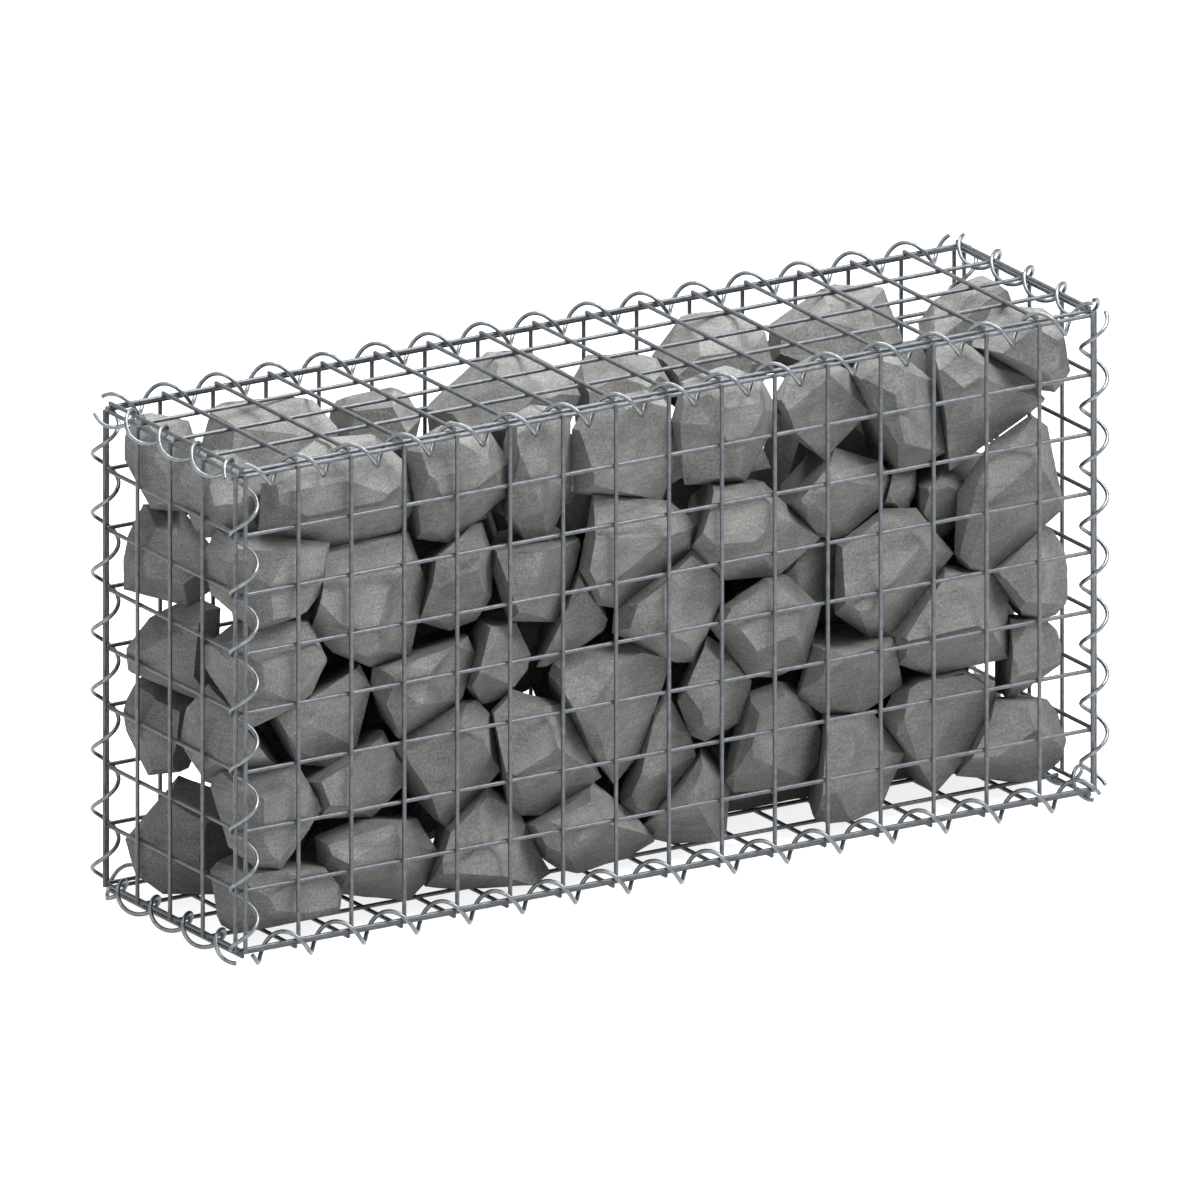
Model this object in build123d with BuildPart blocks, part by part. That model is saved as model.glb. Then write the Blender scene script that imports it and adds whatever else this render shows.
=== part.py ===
from build123d import *
from math import cos, pi, radians, sin
from random import Random
import os

# Gabion: a closed basket of six welded wire panels, laced along its twelve edges with
# spirals and filled with broken stone. X runs along its length, Y to the back and Z up,
# from the middle of the ground under it. Lengths are in mm and angles in degrees.

# welded mesh
cell = 62.5                  # mesh opening, wire to wire, both ways
cells_long, cells_deep, cells_high = 16, 4, 8
wire = 4.0                   # mesh wire, across the corners of its six-sided bar
wire_end = 2.0               # how far each wire runs past the edge wire it is welded to
panel_gap = 0.4              # between the wires of two panels that meet at an edge

# edge spirals
spiral_radius = 13.5         # to the middle of the strand, at its bends
strand = 4.0
strand_sides = 5
bends = 8                    # in one turn
hang = 3.0                   # a spiral hangs, or is pressed up, until it bears on an edge wire
lean = 2.5                   # and leans sideways as far as this
long_lean = 3.8              # the same, along the front and the back

# stone fill
stone_gap = 0.3              # between stones that bear on each other
bed_gap = 0.3                # between the stones and the wires they lie against
edge_clear = 33.0            # kept free of stone along each edge, for the spirals
view_bearing = 31.67         # the stones are outlined as seen from this far round to the left
view_rise = 18.0             # and this far up
crown_lean = 14.0            # greatest lean of a stone's front face
front_bevel = (12.0, 36.0)   # range of the slopes broken round a stone's front
back_bevel = (5.0, 15.0)     # and round its back
grow_share = 1.08            # a stone's rim against the outline that it shows past its neighbours
hidden_grow_share = 1.3      # the same in the back row, which shows only through the front one
reach_share = 0.85           # a stone's front face before its rim, as a share of its mean radius
block_share = 4.0            # the block that a stone is broken from, in mesh openings
least_share = 0.15           # the thinnest stone kept, from its middle, in mesh openings
courses = 5                  # the fill is lifted out in this many layers
seed = 7

layer = wire * cos(radians(30))              # two crossing wires, flat on flat
edge_step = 2 * layer + panel_gap            # from one panel's outer wires to the next one's edge wire
run_x, run_y, run_z = cells_long * cell, cells_deep * cell, cells_high * cell
wide, deep, high = run_x + 2 * edge_step, run_y + 2 * edge_step, run_z + 2 * edge_step
rise = spiral_radius + strand / 2 - edge_step / 2 - hang     # the base wires' height above ground
left, front, top = -wide / 2, -deep / 2, rise + high
middle = rise + high / 2

along_x, along_y, along_z = (1, 0, 0), (0, 1, 0), (0, 0, 1)

os.makedirs("parts", exist_ok=True)

# Mesh panels: two layers of straight wires, welded at every crossing. The wires drawn first
# lie outside. Each line gives the plane across the wires' middles, how many there are along
# it and up it, how far they run each way, and the turn that lays flat on flat.
uprights, rails = run_z / 2 + wire_end, run_x / 2 + wire_end
end_rails = run_y / 2 + wire_end
flat_x, flat_y = 30, 0
panels = {
    "front_mesh_panel": [
        (Plane((0, front, middle), along_x, along_z), cells_long + 1, 1, uprights, flat_y),
        (Plane((0, front + layer, middle), along_y, along_x), 1, cells_high + 1, rails, flat_x)],
    "back_mesh_panel": [
        (Plane((0, -front, middle), along_x, along_z), cells_long + 1, 1, uprights, flat_y),
        (Plane((0, -front - layer, middle), along_y, along_x), 1, cells_high + 1, rails, flat_x)],
    "left_end_mesh_panel": [
        (Plane((left, 0, middle), along_x, along_z), 1, cells_deep + 1, uprights, flat_x),
        (Plane((left + layer, 0, middle), along_x, along_y), 1, cells_high + 1, end_rails, flat_x)],
    "right_end_mesh_panel": [
        (Plane((-left, 0, middle), along_x, along_z), 1, cells_deep + 1, uprights, flat_x),
        (Plane((-left - layer, 0, middle), along_x, along_y), 1, cells_high + 1, end_rails, flat_x)],
    "base_mesh_panel": [
        (Plane((0, 0, rise), along_x, along_y), cells_long + 1, 1, end_rails, flat_y),
        (Plane((0, 0, rise + layer), along_y, along_x), cells_deep + 1, 1, rails, flat_y)],
    "lid_mesh_panel": [
        (Plane((0, 0, top), along_x, along_y), cells_long + 1, 1, end_rails, flat_y),
        (Plane((0, 0, top - layer), along_y, along_x), cells_deep + 1, 1, rails, flat_y)],
}
for name, wire_layers in panels.items():
    with BuildPart() as panel:
        for across, columns, rows, half_run, turn in wire_layers:
            with BuildSketch(across):
                with GridLocations(cell, cell, columns, rows):
                    RegularPolygon(wire / 2, 6, rotation=turn)
            extrude(amount=half_run, both=True)
    panel.part.label = name
    export_step(panel.part, f"parts/{name}.step")

# Edge spirals: right-handed coils, one turn to a mesh opening, screwed along two edge wires
# at once. Each line gives the coil's middle, its axis, the side its turns are counted from,
# the number of turns and the eighths of a turn that it starts at.
edge_x, edge_y = wide / 2 - edge_step / 2, deep / 2 - edge_step / 2
low, upper = rise + edge_step / 2 + hang, top - edge_step / 2 - hang
out_x, out_y = edge_x + lean, edge_y + long_lean
spirals = {
    "front_left_upright_spiral": (
        (-edge_x + hang, -edge_y - lean, middle), along_z, along_x, cells_high, 3),
    "back_left_upright_spiral": (
        (-edge_x - lean, edge_y - hang, middle), along_z, along_x, cells_high, 1),
    "front_right_upright_spiral": (
        (edge_x + lean, -edge_y + hang, middle), along_z, along_x, cells_high, 0),
    "back_right_upright_spiral": (
        (edge_x + lean, edge_y - hang, middle), along_z, along_x, cells_high, 1),
    "front_bottom_spiral": ((0, -out_y, low), along_x, along_y, cells_long, 4),
    "back_bottom_spiral": ((0, out_y, low), along_x, along_y, cells_long, 6),
    "left_bottom_spiral": ((-out_x, 0, low), along_y, along_z, cells_deep, 4),
    "right_bottom_spiral": ((out_x, 0, low), along_y, along_z, cells_deep, 4),
    "front_top_spiral": ((0, -out_y, upper), along_x, along_y, cells_long, 2),
    "back_top_spiral": ((0, out_y, upper), along_x, along_y, cells_long, 1),
    "left_top_spiral": ((-out_x, 0, upper), along_y, along_z, cells_deep, 6),
    "right_top_spiral": ((out_x, 0, upper), along_y, along_z, cells_deep, 0),
}
for name, (centre, axis, zero_side, turns, start) in spirals.items():
    coil = []
    for bend in range(turns * bends + 1):
        turned = 2 * pi * (start / 8 + bend / bends)
        coil.append((
            spiral_radius * cos(turned),
            spiral_radius * sin(turned),
            cell * (bend / bends - turns / 2)))
    with BuildPart() as spiral:
        with BuildLine(Plane(origin=centre, x_dir=zero_side, z_dir=axis)) as path:
            Polyline(*coil)
        with BuildSketch(Plane(origin=path.line @ 0, z_dir=path.line % 0)):
            RegularPolygon(strand / 2, strand_sides)
        sweep(transition=Transition.RIGHT)
    spiral.part.label = name
    export_step(spiral.part, f"parts/{name}.step")

# Stone fill: broken, angular stone. Each line gives, in mesh openings, how deep the middle of a
# stone lies behind the front panel and the outline that the stone shows, right and up from the
# basket's lower front left corner. The rim along that outline lies flat to the front, or to the view where the
# stone shows at the left end or through the lid. Slopes are broken from it, front and back.
stone_shares = [
    (1.5, (-1, 8.1), (-0.98, 6.68), (0.33, 6.92), (0.49, 7.5), (0.3, 7.85), (-0.2, 8.15)),
    (0.72, (0.45, 7.65), (0.4, 6.95), (1.38, 6.67), (2.49, 6.9), (2.72, 7.25), (2.62, 7.95),
     (2.1, 8.4), (1.2, 8.35)),
    (0.8, (2.72, 6.86), (3.38, 6.76), (4.25, 7.47), (4.29, 7.98), (3.99, 8.45), (3.4, 8.6),
     (2.75, 8.25)),
    (0.9, (4.12, 7.3), (4.63, 6.77), (4.97, 6.8), (5.3, 7.57), (5.33, 8.75), (4.7, 8.85), (4.1, 8.5)),
    (0.85, (5.4, 8.5), (5.43, 7.57), (6, 7.35), (6.76, 7.42), (6.95, 8), (6.9, 8.9), (6.5, 9.1),
     (5.6, 8.85)),
    (0.78, (7, 8.65), (7.2, 7.7), (8.12, 7.75), (8.63, 8.75), (8.35, 9.3), (7.8, 9.5), (7.15, 9.25)),
    (0.82, (8.62, 9), (8.67, 8.6), (9.4, 8.09), (10.06, 8.83), (9.75, 9.45), (9.3, 9.7), (8.9, 9.5)),
    (0.88, (9.8, 9.35), (9.78, 8.35), (10.25, 7.95), (10.8, 7.92), (11.3, 8.2), (11.15, 9.25),
     (10.7, 9.6), (10.1, 9.7)),
    (0.95, (11.25, 7.6), (12.75, 8.77), (12.88, 9.02), (12.6, 9.35), (11.65, 9.87), (11, 9.87),
     (10.8, 9.3)),
    (1.05, (11.8, 9.8), (12.24, 9.16), (12.9, 8.98), (13.48, 9.5), (13.5, 10.2), (12.9, 10.42),
     (12.1, 10.48)),
    (0.65, (-0.3, 6.87), (-0.47, 6.6), (-0.42, 5.9), (0.26, 5.32), (1.05, 5.6), (1.25, 5.85),
     (1.38, 6.65)),
    (0.75, (1.4, 6.78), (1.05, 5.5), (1.55, 4.98), (2.1, 4.76), (2.7, 4.95), (2.95, 6), (2.6, 6.98)),
    (0.85, (2.85, 5.5), (3.4, 5.33), (3.8, 5.5), (4.02, 5.85), (4.04, 6.5), (3.87, 6.95), (2.75, 6.75)),
    (0.92, (4.02, 6.5), (4.35, 5.5), (5.07, 5.5), (5.52, 6.6), (5.2, 7.05), (4.5, 7.2), (4.12, 7.1)),
    (1.4, (5.1, 7.5), (5.1, 7), (5.35, 6.8), (5.7, 6.9), (5.85, 7.4), (5.5, 7.65)),
    (0.72, (5.73, 7.42), (5.52, 6.3), (5.8, 5.75), (6.1, 5.7), (7.17, 6.56), (7.3, 6.97), (6.87, 7.32)),
    (0.8, (7.03, 7.55), (7.2, 6.7), (7.8, 6.15), (8.6, 6.22), (9.24, 6.79), (8.26, 7.76), (7.3, 7.72)),
    (0.92, (8.3, 7.8), (9.17, 6.87), (9.83, 6.8), (10.3, 7.35), (10.4, 7.7), (10.27, 7.97),
     (8.8, 8.42)),
    (1.3, (10.2, 7.95), (10.25, 7.25), (10.7, 7.15), (10.87, 7.5), (10.87, 7.9), (10.5, 8.1)),
    (1.35, (10.8, 7.9), (10.8, 7.2), (11.27, 6.8), (11.53, 7), (11.65, 7.6), (11.3, 8)),
    (0.85, (12.05, 8.22), (11.6, 7.5), (11.54, 6.38), (12.08, 6.31), (13.2, 7.26), (12.95, 8.5),
     (12.7, 8.68)),
    (3.5, (-1.49, 7.32), (-2, 6.27), (-1.95, 6), (-0.85, 5.72), (-0.5, 5.97), (-0.48, 6.6),
     (-0.95, 7.2)),
    (3.2, (-1.42, 5.46), (-1.76, 5), (-1.8, 4.68), (-0.67, 4.22), (-0.4, 4.4), (-0.35, 5.6),
     (-0.76, 5.8)),
    (0.66, (-0.23, 5.57), (-0.53, 5), (-0.5, 4.7), (0.15, 3.75), (1.13, 4.24), (1.35, 4.8),
     (1.06, 5.4)),
    (0.76, (0.38, 3.84), (0.93, 3.2), (1.4, 3.15), (1.86, 3.45), (2.08, 4.35), (1.85, 4.82),
     (1.6, 4.95)),
    (0.8, (2.2, 4.73), (2.1, 3.98), (2.61, 3.61), (3.54, 4.2), (3.74, 4.9), (3.58, 5.3), (2.95, 5.25)),
    (0.95, (3.6, 5.3), (3.55, 4.2), (3.9, 4.13), (4.53, 4.36), (4.64, 4.9), (4.4, 5.45), (4.1, 5.65)),
    (0.98, (5.5, 6.3), (4.5, 5.4), (4.55, 4.53), (4.8, 4.52), (5.63, 5.06), (5.96, 5.48), (5.68, 6.2)),
    (0.82, (7.2, 6.63), (6.1, 5.7), (6.06, 5.27), (7, 4.83), (7.3, 4.82), (7.73, 5.8), (7.72, 6.1)),
    (0.84, (8.65, 6.22), (7.8, 5.65), (7.62, 5.33), (8.2, 4.58), (8.6, 4.58), (9.07, 4.77),
     (9.3, 5.65)),
    (1.4, (8.65, 6.3), (8.9, 5.85), (9.2, 5.72), (9.55, 5.75), (9.6, 6.7), (9.3, 6.9), (9, 6.75)),
    (0.82, (10.35, 7.18), (9.65, 6.65), (9.62, 5.6), (10.15, 5.24), (10.45, 5.27), (11.41, 6.5),
     (10.84, 7.18)),
    (1, (12.9, 6.95), (12.1, 6.4), (12.02, 6.1), (12.43, 5.55), (13.15, 5.52), (13.42, 5.75),
     (13.43, 6.56)),
    (3.55, (-1.65, 4.5), (-1.95, 4.02), (-1.44, 3), (-0.88, 3), (-0.68, 3.5), (-0.62, 4.2),
     (-1.14, 4.45)),
    (1.35, (-0.48, 4.38), (-0.83, 4), (-0.95, 3.5), (-0.73, 2.83), (0.85, 3.1), (0.36, 3.8)),
    (0.68, (-0.43, 2.8), (-0.15, 1.85), (0.26, 1.52), (0.64, 1.5), (1.3, 2.4), (0.9, 3.07), (-0.23, 3)),
    (0.8, (1.02, 3.05), (1.3, 2.32), (2.12, 2.32), (2.6, 2.8), (2.63, 3.05), (2.25, 3.68), (2, 3.68)),
    (0.88, (2.5, 3.4), (2.68, 2.6), (3.33, 2.22), (4.15, 3.05), (4, 3.9), (3.8, 4.12), (3.5, 4.1)),
    (0.9, (4.05, 3.9), (4.05, 2.8), (4.55, 2.38), (4.84, 2.38), (5.75, 2.95), (5.17, 4.05),
     (4.4, 4.27)),
    (0.95, (5.1, 4.74), (4.94, 4.32), (6.02, 2.9), (6.4, 3.35), (6.86, 4.7), (6.75, 5.06), (5.5, 4.97)),
    (0.95, (7.49, 5.17), (6.95, 4.5), (7.28, 3.65), (7.5, 3.55), (8.04, 3.85), (8.22, 4.5),
     (8.1, 4.78)),
    (1.05, (6.83, 4.22), (6.35, 3.5), (6.08, 2.75), (6.26, 2.32), (6.64, 2.38), (7.36, 3.3),
     (7.36, 3.5)),
    (1, (8.94, 4.5), (8.15, 4.22), (7.79, 2.98), (8, 2.73), (9, 2.82), (9.27, 3.2), (9.31, 3.65)),
    (0.95, (9.32, 5.68), (9, 4.3), (9.4, 4), (10, 4), (10.65, 4.43), (10.7, 4.95), (10.5, 5.26)),
    (0.88, (11.3, 6.35), (10.48, 5.28), (10.65, 4.78), (11.17, 4.62), (12.3, 4.88), (12.3, 5.8),
     (12.05, 6.15)),
    (1.05, (12.36, 5.57), (11.8, 4.9), (12.02, 4.27), (12.45, 4.25), (13.22, 4.78), (13.26, 5.12),
     (12.9, 5.47)),
    (1.05, (10.7, 4.62), (10.4, 3.9), (10.55, 2.78), (11, 2.54), (11.6, 3.2), (12.12, 4.25),
     (11.59, 4.64)),
    (1.1, (12, 4.1), (11.45, 3.3), (11.48, 3), (12.85, 2.83), (13.33, 3.05), (13.4, 3.5),
     (12.75, 4.42)),
    (1.02, (9.28, 3.87), (9.02, 2.55), (9.47, 2.16), (10.15, 2.2), (10.63, 3.3), (10.13, 3.95),
     (9.45, 3.97)),
    (3.1, (-0.97, 2.88), (-1.78, 1.92), (-1.6, 1.36), (-1.2, 1.1), (-0.3, 1.1), (-0.15, 1.75),
     (-0.25, 2.6)),
    (0.72, (-0.1, 1.77), (-0.4, 1.42), (-0.25, 0.42), (1.55, 0.75), (1.63, 1.1), (1.05, 1.77)),
    (0.85, (1.28, 1.95), (1.35, 1.4), (1.63, 1.08), (2.7, 0.98), (2.97, 1.28), (3.12, 1.73),
     (2.62, 2.52)),
    (0.95, (3.05, 2.3), (2.98, 1.22), (4.95, 1.08), (5.03, 1.25), (4.35, 2.55), (4, 2.76)),
    (1, (4.68, 2.4), (4.6, 2.1), (4.8, 1.7), (5.4, 1.33), (5.65, 1.31), (6.67, 1.95), (5.6, 2.85)),
    (1.15, (7.5, 3.47), (6.35, 2.25), (6.7, 1.97), (7.47, 1.83), (7.79, 1.9), (7.86, 2.9), (7.74, 3.3)),
    (1.5, (7.8, 3.1), (7.83, 2.5), (8.4, 2.2), (9.1, 2.5), (9.15, 2.9), (8.5, 3.2)),
    (3.5, (-1.87, 8.5), (-1.84, 8.1), (-1.42, 7.3), (-0.85, 7.25), (-0.7, 8.2), (-0.85, 8.62),
     (-1.6, 8.79)),
    (3.2, (-0.62, 8.86), (-0.78, 8.3), (-0.5, 7.4), (0.4, 7.2), (1.45, 7.6), (1.5, 8.5), (1.05, 9.02)),
    (3.15, (1.56, 8.97), (1.45, 8.5), (1.7, 7.8), (2.7, 7.9), (2.88, 8.7), (2.65, 9.08), (2.45, 9.17)),
    (3.05, (3.05, 8.85), (3.2, 8.2), (3.9, 8), (5.1, 8.2), (5.4, 9.05), (5.25, 9.35), (4.25, 9.92)),
    (3.1, (5.4, 9.3), (5.45, 8.6), (5.8, 8.2), (6.8, 8.4), (6.9, 9.2), (6.65, 9.67), (5.62, 9.68)),
    (3.05, (6.7, 9.7), (6.95, 9), (7.2, 8.8), (8.2, 8.9), (8.5, 9.6), (8.4, 10.05), (7.95, 10.43),
     (7.14, 10.3)),
    (3.1, (8.6, 10.2), (8.55, 9.5), (9.3, 9.2), (10.3, 9.3), (10.6, 9.95), (10.28, 10.78),
     (9.6, 10.88)),
]
to_right = Vector(cos(radians(view_bearing)), -sin(radians(view_bearing)), 0)
to_view = Vector(
    -sin(radians(view_bearing)) * cos(radians(view_rise)),
    -cos(radians(view_bearing)) * cos(radians(view_rise)),
    sin(radians(view_rise)))
to_top = to_view.cross(to_right)
to_front = Vector(0, -1, 0)
corner = Vector(left, front, rise)
chance = Random(seed)

wall = layer + wire / 2 + bed_gap            # from a panel's outer wires to the stones inside it
room = [
    (Vector(left + wall, 0, 0), Vector(-1, 0, 0)), (Vector(-left - wall, 0, 0), Vector(1, 0, 0)),
    (Vector(0, front + wall, 0), Vector(0, -1, 0)), (Vector(0, -front - wall, 0), Vector(0, 1, 0)),
    (Vector(0, 0, rise + wall), Vector(0, 0, -1)), (Vector(0, 0, top - wall), Vector(0, 0, 1))]
for first in range(0, 6, 2):
    for second in range(first + 2, 6, 2):
        for one in (first, first + 1):
            for other in (second, second + 1):
                (at_one, out_one), (at_other, out_other) = room[one], room[other]
                meet = out_one * at_one.dot(out_one) + out_other * at_other.dot(out_other)
                slant = (out_one + out_other).normalized()
                room.append((meet - out_one * (edge_clear - wall), slant))

# The stones are laid from the front, each one cut to the slopes of those laid before it. The
# rows of the front and the back meet in the middle, and the front row turned half round fills
# the back.
laid = []                                    # each stone's middle and the slopes that bound it
nodes = {}
for turned_about in (False, True):
    for depth, *outline in sorted(stone_shares):
        in_front = depth < cells_deep / 2
        if turned_about and not in_front:
            continue
        seen = [corner + to_right * (cell * across) + to_top * (cell * above) for across, above in outline]
        middle_seen = sum(seen, Vector()) * (1 / len(seen))
        centre = middle_seen + to_view * ((front + cell * depth - middle_seen.Y) / to_view.Y)
        leftmost = min(across for across, above in outline)
        facing = to_front if in_front and leftmost > 0 else to_view
        rim = [point + to_view * ((centre - point).dot(facing) / to_view.dot(facing)) for point in seen]
        growth = hidden_grow_share if turned_about else grow_share
        rim = [centre + (point - centre) * growth for point in rim]
        slopes = []
        for here, there in zip(rim, rim[1:] + rim[:1]):
            edge = (there - here).normalized()
            outward = edge.cross(to_view).normalized()
            forward = outward.cross(edge)
            for side, slope_range in ((1, front_bevel), (-1, back_bevel)):
                slope = radians(chance.uniform(*slope_range))
                slopes.append((here, outward * cos(slope) + forward * (side * sin(slope))))
        radius = sum((point - centre).length for point in rim) / len(rim)
        swing, nod = chance.uniform(-crown_lean, crown_lean), chance.uniform(-crown_lean, crown_lean)
        crown = facing.rotate(Axis.Z, swing).rotate(Axis.X, nod)
        slopes.append((centre + facing * (radius * reach_share), crown))
        inner = to_front * (-1 if in_front else 1)
        slopes.append((inner * (-stone_gap / 2), inner))
        if turned_about:
            centre = Vector(-centre.X, -centre.Y, centre.Z)
            slopes = [(Vector(-p.X, -p.Y, p.Z), Vector(-n.X, -n.Y, n.Z)) for p, n in slopes]
        slopes += room
        for other_centre, other_slopes in laid:
            if (other_centre - centre).length < cell * block_share:
                facing_slope = max(other_slopes, key=lambda slope: (centre - slope[0]).dot(slope[1]))
                slopes.append((facing_slope[0] + facing_slope[1] * stone_gap, facing_slope[1] * -1))
        if min((point - centre).dot(normal) for point, normal in slopes) < cell * least_share:
            continue
        laid.append((centre, slopes))
        with BuildPart() as stone:
            with Locations(centre):
                Box(cell * block_share, cell * block_share, cell * block_share)
            for point, normal in slopes:
                if any((tip.center() - point).dot(normal) > 0 for tip in stone.part.vertices()):
                    split(bisect_by=Plane(origin=point, z_dir=normal), keep=Keep.BOTTOM)
        course = min(int((centre.Z - rise) / high * courses), courses - 1) + 1
        row = "front" if centre.Y < 0 else "back"
        nodes.setdefault(f"{row}_stones_course_{course}", []).append(stone.part)
for name, stones in nodes.items():
    with BuildPart() as course:
        for stone in stones:
            add(stone)
    course.part.label = name
    export_step(course.part, f"parts/{name}.step")
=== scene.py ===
from math import cos, pi, radians, sin
from random import Random

import bmesh
import bpy
from mathutils import Euler, Matrix, Quaternion, Vector, noise


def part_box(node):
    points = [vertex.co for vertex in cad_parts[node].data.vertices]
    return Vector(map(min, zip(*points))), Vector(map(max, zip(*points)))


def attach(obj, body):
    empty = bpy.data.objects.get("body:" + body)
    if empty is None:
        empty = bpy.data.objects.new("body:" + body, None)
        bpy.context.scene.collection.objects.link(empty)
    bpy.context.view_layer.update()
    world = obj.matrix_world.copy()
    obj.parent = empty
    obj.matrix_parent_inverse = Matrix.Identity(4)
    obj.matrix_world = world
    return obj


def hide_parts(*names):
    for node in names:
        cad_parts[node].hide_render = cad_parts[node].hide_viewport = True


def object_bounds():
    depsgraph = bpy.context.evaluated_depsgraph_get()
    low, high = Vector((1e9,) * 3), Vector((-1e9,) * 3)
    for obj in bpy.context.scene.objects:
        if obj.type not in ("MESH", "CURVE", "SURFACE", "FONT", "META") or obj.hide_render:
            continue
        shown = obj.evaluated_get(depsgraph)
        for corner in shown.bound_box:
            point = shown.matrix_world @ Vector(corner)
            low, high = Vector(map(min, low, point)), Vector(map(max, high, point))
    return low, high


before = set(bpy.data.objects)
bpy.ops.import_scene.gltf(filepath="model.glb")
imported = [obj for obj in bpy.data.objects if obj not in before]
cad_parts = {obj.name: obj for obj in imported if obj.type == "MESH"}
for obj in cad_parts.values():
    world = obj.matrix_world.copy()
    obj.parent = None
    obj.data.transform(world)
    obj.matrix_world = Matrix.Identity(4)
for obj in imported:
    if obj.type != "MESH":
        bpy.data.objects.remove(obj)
cad_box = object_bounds()


# Welded mesh panels: straight galvanised wires in two crossing layers, fused where they cross,
# with a small bead at each weld. One Geometry Nodes tree makes all six panels of the basket,
# in dull blue-grey zinc with a faint spangle.
mesh_step, wire_radius, bead_radius = 0.0625, 0.0022, 0.0026
layer_step = 0.003464
mesh_zinc = bpy.data.materials.new("mesh_zinc")
mesh_zinc.use_nodes = True
nodes, links = mesh_zinc.node_tree.nodes, mesh_zinc.node_tree.links
shader = nodes["Principled BSDF"]
shader.inputs["Metallic"].default_value = 0.50
place = nodes.new("ShaderNodeTexCoord")
mottle = nodes.new("ShaderNodeTexNoise")
mottle.inputs["Scale"].default_value = 160.0
mottle.inputs["Detail"].default_value = 4.0
links.new(place.outputs["Object"], mottle.inputs["Vector"])
tone = nodes.new("ShaderNodeValToRGB")
tone.color_ramp.elements[0].position = 0.32
tone.color_ramp.elements[0].color = (0.073, 0.081, 0.090, 1)
tone.color_ramp.elements[1].position = 0.72
tone.color_ramp.elements[1].color = (0.129, 0.143, 0.157, 1)
links.new(mottle.outputs["Fac"], tone.inputs["Fac"])
links.new(tone.outputs["Color"], shader.inputs["Base Color"])
dull = nodes.new("ShaderNodeMapRange")
dull.inputs["To Min"].default_value = 0.34
dull.inputs["To Max"].default_value = 0.48
links.new(mottle.outputs["Fac"], dull.inputs["Value"])
links.new(dull.outputs["Result"], shader.inputs["Roughness"])

mesh_tree = bpy.data.node_groups.new("welded_mesh", "GeometryNodeTree")
sockets = {}
for title, kind, value in (
        ("Columns", "NodeSocketInt", 17), ("Rows", "NodeSocketInt", 9),
        ("Step", "NodeSocketFloat", mesh_step), ("Wire Radius", "NodeSocketFloat", wire_radius),
        ("Layer", "NodeSocketFloat", layer_step),
        ("Column Length", "NodeSocketFloat", 0.5), ("Row Length", "NodeSocketFloat", 1.0),
        ("Bead", "NodeSocketFloat", bead_radius),
        ("Place", "NodeSocketVector", None), ("Turn", "NodeSocketRotation", None),
        ("Finish", "NodeSocketMaterial", None)):
    socket = mesh_tree.interface.new_socket(title, in_out="INPUT", socket_type=kind)
    if value is not None:
        socket.default_value = value
    sockets[title] = socket.identifier
mesh_tree.interface.new_socket("Geometry", in_out="OUTPUT", socket_type="NodeSocketGeometry")
nodes, links = mesh_tree.nodes, mesh_tree.links
given = nodes.new("NodeGroupInput")
result = nodes.new("NodeGroupOutput")
gather = nodes.new("GeometryNodeJoinGeometry")
round_wire = nodes.new("GeometryNodeCurvePrimitiveCircle")
round_wire.inputs["Resolution"].default_value = 14
links.new(given.outputs["Wire Radius"], round_wire.inputs["Radius"])
for count, length, along, side in (
        ("Columns", "Column Length", 0, 1), ("Rows", "Row Length", 1, -1)):
    half = nodes.new("ShaderNodeMath")
    half.operation = "MULTIPLY"
    half.inputs[1].default_value = 0.5
    links.new(given.outputs[length], half.inputs[0])
    minus_half = nodes.new("ShaderNodeMath")
    minus_half.operation = "MULTIPLY"
    minus_half.inputs[1].default_value = -0.5
    links.new(given.outputs[length], minus_half.inputs[0])
    height = nodes.new("ShaderNodeMath")
    height.operation = "MULTIPLY"
    height.inputs[1].default_value = 0.5 * side
    links.new(given.outputs["Layer"], height.inputs[0])
    start, end = nodes.new("ShaderNodeCombineXYZ"), nodes.new("ShaderNodeCombineXYZ")
    links.new(minus_half.outputs[0], start.inputs[1 - along])
    links.new(half.outputs[0], end.inputs[1 - along])
    line = nodes.new("GeometryNodeCurvePrimitiveLine")
    links.new(start.outputs[0], line.inputs["Start"])
    links.new(end.outputs[0], line.inputs["End"])
    tube = nodes.new("GeometryNodeCurveToMesh")
    tube.inputs["Fill Caps"].default_value = True
    links.new(line.outputs["Curve"], tube.inputs["Curve"])
    links.new(round_wire.outputs["Curve"], tube.inputs["Profile Curve"])
    gaps = nodes.new("ShaderNodeMath")
    gaps.operation = "SUBTRACT"
    gaps.inputs[1].default_value = 1
    links.new(given.outputs[count], gaps.inputs[0])
    span = nodes.new("ShaderNodeMath")
    span.operation = "MULTIPLY"
    links.new(gaps.outputs[0], span.inputs[0])
    links.new(given.outputs["Step"], span.inputs[1])
    first = nodes.new("ShaderNodeMath")
    first.operation = "MULTIPLY"
    first.inputs[1].default_value = -0.5
    links.new(span.outputs[0], first.inputs[0])
    origin, offset = nodes.new("ShaderNodeCombineXYZ"), nodes.new("ShaderNodeCombineXYZ")
    links.new(first.outputs[0], origin.inputs[along])
    links.new(height.outputs[0], origin.inputs[2])
    links.new(given.outputs["Step"], offset.inputs[along])
    row = nodes.new("GeometryNodeMeshLine")
    links.new(given.outputs[count], row.inputs["Count"])
    links.new(origin.outputs[0], row.inputs["Start Location"])
    links.new(offset.outputs[0], row.inputs["Offset"])
    lay = nodes.new("GeometryNodeInstanceOnPoints")
    links.new(row.outputs["Mesh"], lay.inputs["Points"])
    links.new(tube.outputs["Mesh"], lay.inputs["Instance"])
    links.new(lay.outputs["Instances"], gather.inputs["Geometry"])
    if along == 0:
        grid_width = span
    else:
        grid_height = span
crossings = nodes.new("GeometryNodeMeshGrid")
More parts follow.
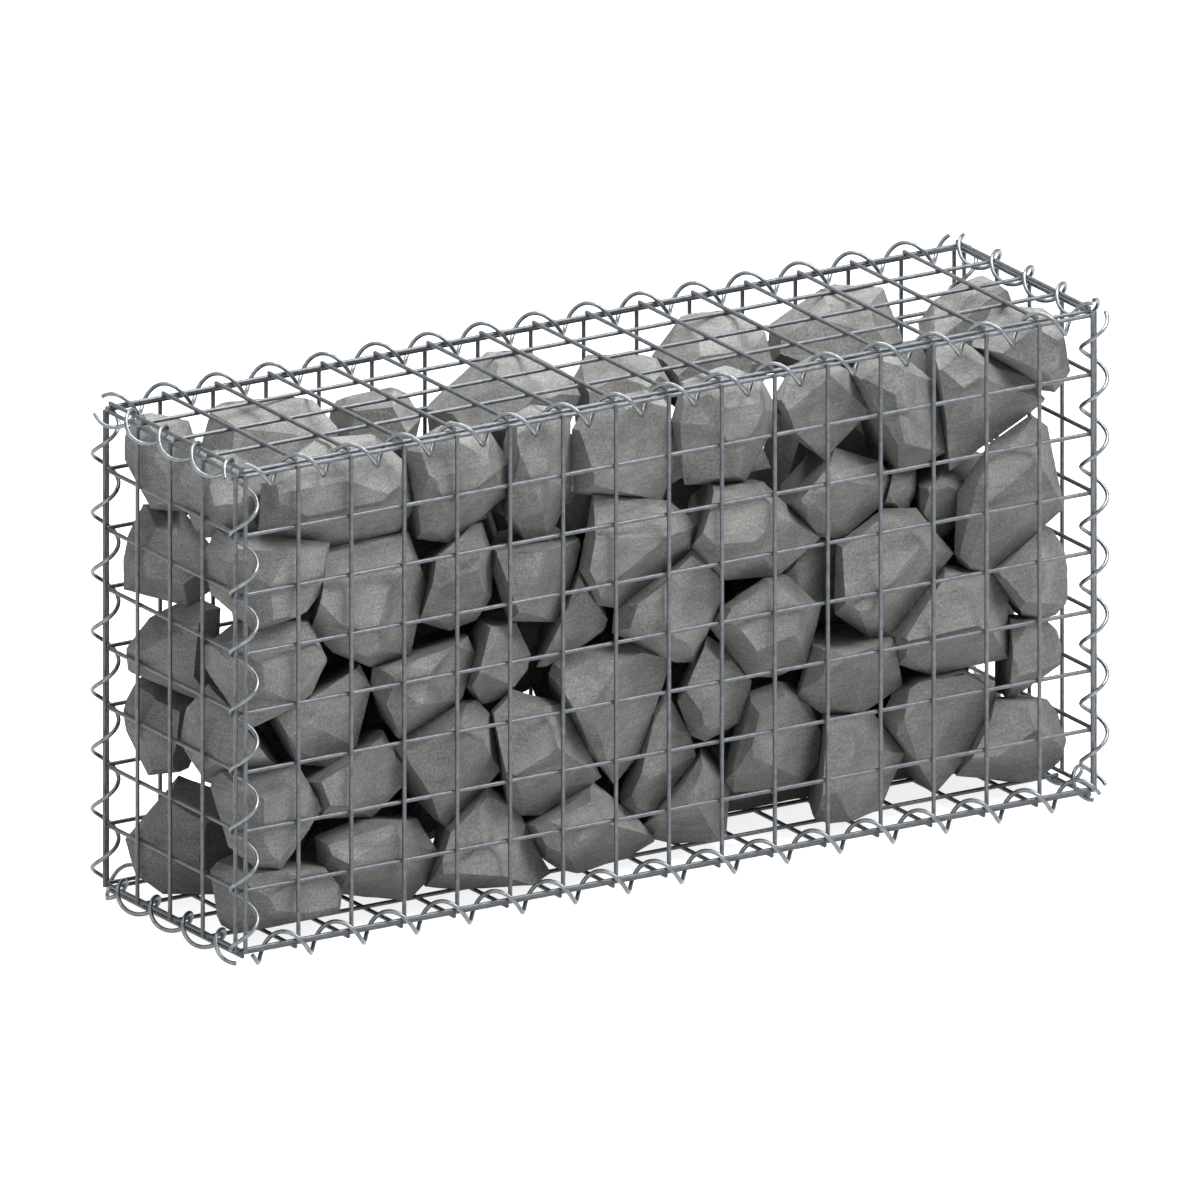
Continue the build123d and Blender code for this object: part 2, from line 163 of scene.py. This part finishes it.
links.new(grid_width.outputs[0], crossings.inputs["Size X"])
links.new(grid_height.outputs[0], crossings.inputs["Size Y"])
links.new(given.outputs["Columns"], crossings.inputs["Vertices X"])
links.new(given.outputs["Rows"], crossings.inputs["Vertices Y"])
bead = nodes.new("GeometryNodeMeshUVSphere")
bead.inputs["Segments"].default_value = 8
bead.inputs["Rings"].default_value = 6
links.new(given.outputs["Bead"], bead.inputs["Radius"])
weld = nodes.new("GeometryNodeInstanceOnPoints")
links.new(crossings.outputs["Mesh"], weld.inputs["Points"])
links.new(bead.outputs["Mesh"], weld.inputs["Instance"])
links.new(weld.outputs["Instances"], gather.inputs["Geometry"])
stand = nodes.new("GeometryNodeTransform")
links.new(gather.outputs["Geometry"], stand.inputs["Geometry"])
links.new(given.outputs["Place"], stand.inputs["Translation"])
links.new(given.outputs["Turn"], stand.inputs["Rotation"])
smooth = nodes.new("GeometryNodeSetShadeSmooth")
links.new(stand.outputs["Geometry"], smooth.inputs["Geometry"])
whole = nodes.new("GeometryNodeRealizeInstances")
links.new(smooth.outputs["Geometry"], whole.inputs["Geometry"])
coat = nodes.new("GeometryNodeSetMaterial")
links.new(whole.outputs["Geometry"], coat.inputs["Geometry"])
links.new(given.outputs["Finish"], coat.inputs["Material"])
links.new(coat.outputs["Geometry"], result.inputs["Geometry"])

for name, columns, rows, turn in (
        ("front_mesh_panel", 17, 9, (90, 0, 0)), ("back_mesh_panel", 17, 9, (90, 0, 180)),
        ("left_end_mesh_panel", 5, 9, (90, 0, -90)), ("right_end_mesh_panel", 5, 9, (90, 0, 90)),
        ("base_mesh_panel", 17, 5, (180, 0, 0)), ("lid_mesh_panel", 17, 5, (0, 0, 0))):
    low, high = (Vector(corner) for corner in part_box(name))
    about = Euler([radians(angle) for angle in turn])
    extent = about.to_matrix().transposed() @ (high - low)
    blank = bpy.data.meshes.new(name + "_blank")
    maker = bpy.data.objects.new(name + "_maker", blank)
    bpy.context.collection.objects.link(maker)
    wires = maker.modifiers.new("welded_mesh", "NODES")
    wires.node_group = mesh_tree
    for title, value in (
            ("Columns", columns), ("Rows", rows), ("Row Length", abs(extent.x)),
            ("Column Length", abs(extent.y)), ("Place", (low + high) / 2), ("Turn", about),
            ("Finish", mesh_zinc)):
        wires[sockets[title]] = value
    bpy.context.view_layer.update()
    evaluated = maker.evaluated_get(bpy.context.evaluated_depsgraph_get())
    made = bpy.data.meshes.new_from_object(evaluated)
    bpy.data.objects.remove(maker)
    piece = bpy.data.objects.new(name + "_wires", made)
    bpy.context.collection.objects.link(piece)
    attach(piece, "root")
    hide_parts(name)


# Edge spirals: brighter galvanised wire, coiled to one turn a mesh opening and screwed along the
# edge wires of two panels, which it laces together. One Geometry Nodes tree sweeps the strand
# along each helix.
coil_radius, strand_radius = 0.0133, 0.0022
spiral_zinc = bpy.data.materials.new("spiral_zinc")
spiral_zinc.use_nodes = True
nodes, links = spiral_zinc.node_tree.nodes, spiral_zinc.node_tree.links
shader = nodes["Principled BSDF"]
shader.inputs["Metallic"].default_value = 0.80
place = nodes.new("ShaderNodeTexCoord")
mottle = nodes.new("ShaderNodeTexNoise")
mottle.inputs["Scale"].default_value = 220.0
mottle.inputs["Detail"].default_value = 3.0
links.new(place.outputs["Object"], mottle.inputs["Vector"])
tone = nodes.new("ShaderNodeValToRGB")
tone.color_ramp.elements[0].position = 0.30
tone.color_ramp.elements[0].color = (0.118, 0.129, 0.139, 1)
tone.color_ramp.elements[1].position = 0.70
tone.color_ramp.elements[1].color = (0.215, 0.233, 0.247, 1)
links.new(mottle.outputs["Fac"], tone.inputs["Fac"])
links.new(tone.outputs["Color"], shader.inputs["Base Color"])
dull = nodes.new("ShaderNodeMapRange")
dull.inputs["To Min"].default_value = 0.25
dull.inputs["To Max"].default_value = 0.36
links.new(mottle.outputs["Fac"], dull.inputs["Value"])
links.new(dull.outputs["Result"], shader.inputs["Roughness"])

spiral_tree = bpy.data.node_groups.new("edge_spiral", "GeometryNodeTree")
sockets = {}
for title, kind, value in (
        ("Turns", "NodeSocketFloat", 8.0), ("Height", "NodeSocketFloat", 0.5),
        ("Coil Radius", "NodeSocketFloat", coil_radius),
        ("Strand Radius", "NodeSocketFloat", strand_radius),
        ("Start", "NodeSocketRotation", None), ("Place", "NodeSocketVector", None),
        ("Turn", "NodeSocketRotation", None), ("Finish", "NodeSocketMaterial", None)):
    socket = spiral_tree.interface.new_socket(title, in_out="INPUT", socket_type=kind)
    if value is not None:
        socket.default_value = value
    sockets[title] = socket.identifier
spiral_tree.interface.new_socket("Geometry", in_out="OUTPUT", socket_type="NodeSocketGeometry")
nodes, links = spiral_tree.nodes, spiral_tree.links
given = nodes.new("NodeGroupInput")
result = nodes.new("NodeGroupOutput")
helix = nodes.new("GeometryNodeCurveSpiral")
helix.inputs["Resolution"].default_value = 40
helix.inputs["Reverse"].default_value = True
links.new(given.outputs["Turns"], helix.inputs["Rotations"])
links.new(given.outputs["Coil Radius"], helix.inputs["Start Radius"])
links.new(given.outputs["Coil Radius"], helix.inputs["End Radius"])
links.new(given.outputs["Height"], helix.inputs["Height"])
drop = nodes.new("ShaderNodeMath")
drop.operation = "MULTIPLY"
drop.inputs[1].default_value = -0.5
links.new(given.outputs["Height"], drop.inputs[0])
foot = nodes.new("ShaderNodeCombineXYZ")
links.new(drop.outputs[0], foot.inputs[2])
centred = nodes.new("GeometryNodeTransform")
links.new(helix.outputs["Curve"], centred.inputs["Geometry"])
links.new(foot.outputs[0], centred.inputs["Translation"])
links.new(given.outputs["Start"], centred.inputs["Rotation"])
strand = nodes.new("GeometryNodeCurvePrimitiveCircle")
strand.inputs["Resolution"].default_value = 12
links.new(given.outputs["Strand Radius"], strand.inputs["Radius"])
tube = nodes.new("GeometryNodeCurveToMesh")
tube.inputs["Fill Caps"].default_value = True
links.new(centred.outputs["Geometry"], tube.inputs["Curve"])
links.new(strand.outputs["Curve"], tube.inputs["Profile Curve"])
stand = nodes.new("GeometryNodeTransform")
links.new(tube.outputs["Mesh"], stand.inputs["Geometry"])
links.new(given.outputs["Place"], stand.inputs["Translation"])
links.new(given.outputs["Turn"], stand.inputs["Rotation"])
smooth = nodes.new("GeometryNodeSetShadeSmooth")
links.new(stand.outputs["Geometry"], smooth.inputs["Geometry"])
whole = nodes.new("GeometryNodeRealizeInstances")
links.new(smooth.outputs["Geometry"], whole.inputs["Geometry"])
coat = nodes.new("GeometryNodeSetMaterial")
links.new(whole.outputs["Geometry"], coat.inputs["Geometry"])
links.new(given.outputs["Finish"], coat.inputs["Material"])
links.new(coat.outputs["Geometry"], result.inputs["Geometry"])

upright = Matrix.Identity(3)
lengthwise = Matrix(((0, 0, 1), (1, 0, 0), (0, 1, 0)))
crosswise = Matrix(((0, 1, 0), (0, 0, 1), (1, 0, 0)))
for name, axis, turns, eighths in (
        ("front_left_upright_spiral", upright, 8, 3), ("back_left_upright_spiral", upright, 8, 1),
        ("front_right_upright_spiral", upright, 8, 0), ("back_right_upright_spiral", upright, 8, 1),
        ("front_bottom_spiral", lengthwise, 16, 4), ("back_bottom_spiral", lengthwise, 16, 6),
        ("front_top_spiral", lengthwise, 16, 2), ("back_top_spiral", lengthwise, 16, 1),
        ("left_bottom_spiral", crosswise, 4, 4), ("right_bottom_spiral", crosswise, 4, 4),
        ("left_top_spiral", crosswise, 4, 6), ("right_top_spiral", crosswise, 4, 0)):
    low, high = (Vector(corner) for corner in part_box(name))
    blank = bpy.data.meshes.new(name + "_blank")
    maker = bpy.data.objects.new(name + "_maker", blank)
    bpy.context.collection.objects.link(maker)
    coil = maker.modifiers.new("edge_spiral", "NODES")
    coil.node_group = spiral_tree
    for title, value in (
            ("Turns", float(turns)), ("Height", turns * mesh_step),
            ("Start", Euler((0, 0, eighths * pi / 4))), ("Place", (low + high) / 2),
            ("Turn", axis.to_euler()), ("Finish", spiral_zinc)):
        coil[sockets[title]] = value
    bpy.context.view_layer.update()
    evaluated = maker.evaluated_get(bpy.context.evaluated_depsgraph_get())
    made = bpy.data.meshes.new_from_object(evaluated)
    bpy.data.objects.remove(maker)
    piece = bpy.data.objects.new(name + "_wire", made)
    bpy.context.collection.objects.link(piece)
    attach(piece, "root")
    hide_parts(name)


# Stone fill: broken mid-grey stone, loose in the basket. Each stone takes the corners of its CAD
# solid and is broken by a few more flat faces on the sides that show. Its ridges stay sharp and
# its faces get a fine unevenness.
stone_face = bpy.data.materials.new("stone_face")
stone_face.use_nodes = True
nodes, links = stone_face.node_tree.nodes, stone_face.node_tree.links
shader = nodes["Principled BSDF"]
shader.inputs["Roughness"].default_value = 0.88
shader.inputs["Specular IOR Level"].default_value = 0.25
place = nodes.new("ShaderNodeTexCoord")
patches = nodes.new("ShaderNodeTexNoise")
patches.inputs["Scale"].default_value = 26.0
patches.inputs["Detail"].default_value = 5.0
patches.inputs["Roughness"].default_value = 0.62
speckle = nodes.new("ShaderNodeTexNoise")
speckle.inputs["Scale"].default_value = 460.0
speckle.inputs["Detail"].default_value = 3.0
speckle.inputs["Roughness"].default_value = 0.7
for texture in (patches, speckle):
    links.new(place.outputs["Object"], texture.inputs["Vector"])
tone = nodes.new("ShaderNodeValToRGB")
tone.color_ramp.elements[0].position = 0.28
tone.color_ramp.elements[0].color = (0.150, 0.150, 0.147, 1)
tone.color_ramp.elements[1].position = 0.74
tone.color_ramp.elements[1].color = (0.240, 0.239, 0.232, 1)
links.new(patches.outputs["Fac"], tone.inputs["Fac"])
grain = nodes.new("ShaderNodeValToRGB")
grain.color_ramp.elements[0].position = 0.30
grain.color_ramp.elements[0].color = (0.60, 0.60, 0.60, 1)
grain.color_ramp.elements[1].position = 0.70
grain.color_ramp.elements[1].color = (1.34, 1.34, 1.33, 1)
links.new(speckle.outputs["Fac"], grain.inputs["Fac"])
island = nodes.new("ShaderNodeNewGeometry")
each = nodes.new("ShaderNodeMapRange")
each.inputs["To Min"].default_value = 0.86
each.inputs["To Max"].default_value = 1.12
links.new(island.outputs["Random Per Island"], each.inputs["Value"])
grained = nodes.new("ShaderNodeMix")
grained.data_type = "RGBA"
grained.blend_type = "MULTIPLY"
grained.inputs["Factor"].default_value = 1.0
links.new(tone.outputs["Color"], grained.inputs["A"])
links.new(grain.outputs["Color"], grained.inputs["B"])
bedding = nodes.new("ShaderNodeMapping")
bedding.inputs["Rotation"].default_value = (0.5, 0.35, 0.2)
bedding.inputs["Scale"].default_value = (30, 45, 330)
links.new(place.outputs["Object"], bedding.inputs["Vector"])
streaks = nodes.new("ShaderNodeTexNoise")
streaks.inputs["Scale"].default_value = 1.0
streaks.inputs["Detail"].default_value = 4.0
links.new(bedding.outputs["Vector"], streaks.inputs["Vector"])
bands = nodes.new("ShaderNodeMapRange")
bands.inputs["From Min"].default_value = 0.3
bands.inputs["From Max"].default_value = 0.7
bands.inputs["To Min"].default_value = 0.88
bands.inputs["To Max"].default_value = 1.10
links.new(streaks.outputs["Fac"], bands.inputs["Value"])
shade = nodes.new("ShaderNodeMath")
shade.operation = "MULTIPLY"
links.new(bands.outputs["Result"], shade.inputs[0])
links.new(each.outputs["Result"], shade.inputs[1])
varied = nodes.new("ShaderNodeVectorMath")
varied.operation = "SCALE"
links.new(grained.outputs["Result"], varied.inputs[0])
links.new(shade.outputs[0], varied.inputs["Scale"])
links.new(varied.outputs["Vector"], shader.inputs["Base Color"])
pits = nodes.new("ShaderNodeTexNoise")
pits.inputs["Scale"].default_value = 130.0
pits.inputs["Detail"].default_value = 6.0
pits.inputs["Roughness"].default_value = 0.65
links.new(place.outputs["Object"], pits.inputs["Vector"])
relief = nodes.new("ShaderNodeBump")
relief.inputs["Strength"].default_value = 0.65
relief.inputs["Distance"].default_value = 0.0016
links.new(pits.outputs["Fac"], relief.inputs["Height"])
links.new(relief.outputs["Normal"], shader.inputs["Normal"])

chance = Random(5)
breaks_a_side, end_zone, swing = 3, 0.13, 50
least_tilt, most_tilt, least_depth, most_depth = 16, 38, 0.08, 0.42
flat, softest_ridge = radians(1), radians(9)
same_point, same_corner, longest_edge = 0.00001, 0.0025, 0.0085
swell, swells_a_metre, pitting, pits_a_metre, sink = 0.0009, 30, 0.00035, 110, 0.0003
for name in sorted(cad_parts):
    if "_stones_" not in name:
        continue
    fill = bmesh.new()
    fill.from_mesh(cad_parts[name].data)
    bmesh.ops.remove_doubles(fill, verts=fill.verts, dist=same_point)
    fill.verts.index_update()
    joined = bmesh.new()
    waiting = set(fill.verts)
    while waiting:
        reached = [min(waiting, key=lambda vert: vert.index)]
        waiting.discard(reached[0])
        corners = []
        while reached:
            vert = reached.pop()
            corners.append(vert.co.copy())
            for edge in vert.link_edges:
                other = edge.other_vert(vert)
                if other in waiting:
                    waiting.discard(other)
                    reached.append(other)
        middle = sum(corners, Vector()) / len(corners)
        showing = [Vector((0, -1 if name.startswith("front") else 1, 0))]
        if name.endswith("5"):
            showing.append(Vector((0, 0, 1)))
        if middle.x < cad_box[0][0] + end_zone:
            showing.append(Vector((-1, 0, 0)))
        if middle.x > cad_box[1][0] - end_zone:
            showing.append(Vector((1, 0, 0)))
        lump = bmesh.new()
        for corner in corners:
            lump.verts.new(corner)
        bmesh.ops.convex_hull(lump, input=lump.verts)
        for cut, outward in enumerate(showing * breaks_a_side):
            sector = 360 / breaks_a_side * (cut // len(showing))
            turn = radians(sector + chance.uniform(-swing, swing))
            tilt = radians(chance.uniform(least_tilt, most_tilt))
            side = outward.orthogonal()
            side.rotate(Quaternion(outward, turn))
            lean = outward * cos(tilt) + side * sin(tilt)
            reach = max((vert.co - middle).dot(outward) for vert in lump.verts)
            far = max((vert.co - middle).dot(lean) for vert in lump.verts)
            near = reach * lean.dot(outward)
            depth = near + (far - near) * chance.uniform(least_depth, most_depth)
            bmesh.ops.bisect_plane(
                lump, geom=lump.verts[:] + lump.edges[:] + lump.faces[:],
                plane_co=middle + lean * depth, plane_no=lean, clear_outer=True)
            corners = [vert.co.copy() for vert in lump.verts]
            lump.clear()
            for corner in corners:
                lump.verts.new(corner)
            bmesh.ops.convex_hull(lump, input=lump.verts)
        for vert in [vert for vert in lump.verts if not vert.link_faces]:
            lump.verts.remove(vert)
        bmesh.ops.dissolve_limit(lump, angle_limit=flat, verts=lump.verts, edges=lump.edges)
        bmesh.ops.remove_doubles(lump, verts=lump.verts, dist=same_corner)
        for edge in lump.edges:
            edge.smooth = edge.calc_face_angle() < softest_ridge
        bmesh.ops.triangulate(lump, faces=lump.faces)
        for cut in range(5):
            long_edges = [edge for edge in lump.edges if edge.calc_length() > longest_edge]
            if not long_edges:
                break
            bmesh.ops.subdivide_edges(lump, edges=long_edges, cuts=1)
            bmesh.ops.triangulate(lump, faces=lump.faces)
        lump.normal_update()
        for vert in lump.verts:
            broad = noise.noise(vert.co * swells_a_metre)
            fine = noise.fractal(vert.co * pits_a_metre, 1.0, 2.0, 3)
            vert.co += vert.normal * (swell * broad + pitting * fine - sink)
        made = bpy.data.meshes.new(name + "_lump")
        lump.to_mesh(made)
        lump.free()
        joined.from_mesh(made)
        bpy.data.meshes.remove(made)
    fill.free()
    made = bpy.data.meshes.new(name + "_broken")
    joined.to_mesh(made)
    joined.free()
    made.materials.append(stone_face)
    made.polygons.foreach_set("use_smooth", [True] * len(made.polygons))
    piece = bpy.data.objects.new(name + "_broken", made)
    bpy.context.collection.objects.link(piece)
    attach(piece, "root")
    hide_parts(name)


# Floor: a pale matt sheet just under the basket, which only stands on it. It keeps the basket's
# shadow and glows to the eye, so that it runs out to white.
floor_reach, floor_drop = 15, 0.0002
floor_mesh = bpy.data.meshes.new("floor")
floor_mesh.from_pydata(
    [(-floor_reach, -floor_reach, 0), (floor_reach, -floor_reach, 0),
     (floor_reach, floor_reach, 0), (-floor_reach, floor_reach, 0)], [], [(0, 1, 2, 3)])
floor = bpy.data.objects.new("floor", floor_mesh)
floor.location.z = cad_box[0][2] - floor_drop
bpy.context.collection.objects.link(floor)
pale = bpy.data.materials.new("pale_floor")
pale.use_nodes = True
shader = pale.node_tree.nodes["Principled BSDF"]
shader.inputs["Base Color"].default_value = (0.62, 0.62, 0.62, 1)
shader.inputs["Roughness"].default_value = 0.95
shader.inputs["Specular IOR Level"].default_value = 0.0
shader.inputs["Emission Color"].default_value = (1, 1, 1, 1)
nodes, links = pale.node_tree.nodes, pale.node_tree.links
path = nodes.new("ShaderNodeLightPath")
seen = nodes.new("ShaderNodeMath")
seen.operation = "MAXIMUM"
links.new(path.outputs["Is Camera Ray"], seen.inputs[0])
links.new(path.outputs["Is Glossy Ray"], seen.inputs[1])
glow = nodes.new("ShaderNodeMath")
glow.operation = "MULTIPLY"
glow.inputs[1].default_value = 0.84
links.new(seen.outputs[0], glow.inputs[0])
links.new(glow.outputs[0], shader.inputs["Emission Strength"])
floor_mesh.materials.append(pale)


# Studio: white all round, brighter to the eye and to the metal than it lights. A broad key light
# hangs above the front right and another straight above, and a weak fill stands at the left end.
world = bpy.data.worlds.new("studio")
bpy.context.scene.world = world
world.use_nodes = True
nodes, links = world.node_tree.nodes, world.node_tree.links
lit = nodes["Background"]
lit.inputs["Color"].default_value = (1, 1, 1, 1)
path = nodes.new("ShaderNodeLightPath")
seen = nodes.new("ShaderNodeMath")
seen.operation = "MAXIMUM"
links.new(path.outputs["Is Camera Ray"], seen.inputs[0])
links.new(path.outputs["Is Glossy Ray"], seen.inputs[1])
strength = nodes.new("ShaderNodeMapRange")
strength.inputs["To Min"].default_value = 0.38
strength.inputs["To Max"].default_value = 1.0
links.new(seen.outputs[0], strength.inputs["Value"])
links.new(strength.outputs["Result"], lit.inputs["Strength"])
centre, lamp_size = Vector((0, 0, 0.26)), 2.2
for name, spot, power in (
        ("key_light", (1.3, -1.7, 3.5), 205), ("fill_light", (-3.0, -1.6, 1.6), 29),
        ("top_light", (0.2, 0.5, 3.4), 130)):
    lamp = bpy.data.lights.new(name, "AREA")
    lamp.size = lamp_size
    lamp.energy = power
    light = bpy.data.objects.new(name, lamp)
    light.location = spot
    light.rotation_euler = (Vector(spot) - centre).to_track_quat("Z", "Y").to_euler()
    bpy.context.collection.objects.link(light)


# Camera: parallel lines of sight, round to the left and a little above. It aims at a point that is
# counted in mesh openings from the near bottom corner, along and up the picture.
bearing, rise = radians(31.67), radians(18.0)
picture_width, openings_along, openings_up, stand_off = 1.2058, 5.80, 5.775, 4
rightward = Vector((cos(bearing), -sin(bearing), 0))
sight = Vector((-sin(bearing) * cos(rise), -cos(bearing) * cos(rise), sin(rise)))
upward = sight.cross(rightward)
near_corner = Vector((
    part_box("left_end_mesh_panel")[0][0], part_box("front_mesh_panel")[0][1],
    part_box("base_mesh_panel")[0][2])) + Vector((1, 1, 1)) * (layer_step / 2)
aim = near_corner + (rightward * openings_along + upward * openings_up) * mesh_step
lens = bpy.data.cameras.new("camera")
lens.type = "ORTHO"
lens.ortho_scale = picture_width
lens.clip_end = 60
camera = bpy.data.objects.new("camera", lens)
camera.location = aim + sight * stand_off
camera.rotation_euler = Matrix((rightward, upward, sight)).transposed().to_euler()
bpy.context.collection.objects.link(camera)
bpy.context.scene.camera = camera
bpy.context.scene.view_settings.view_transform = "Standard"
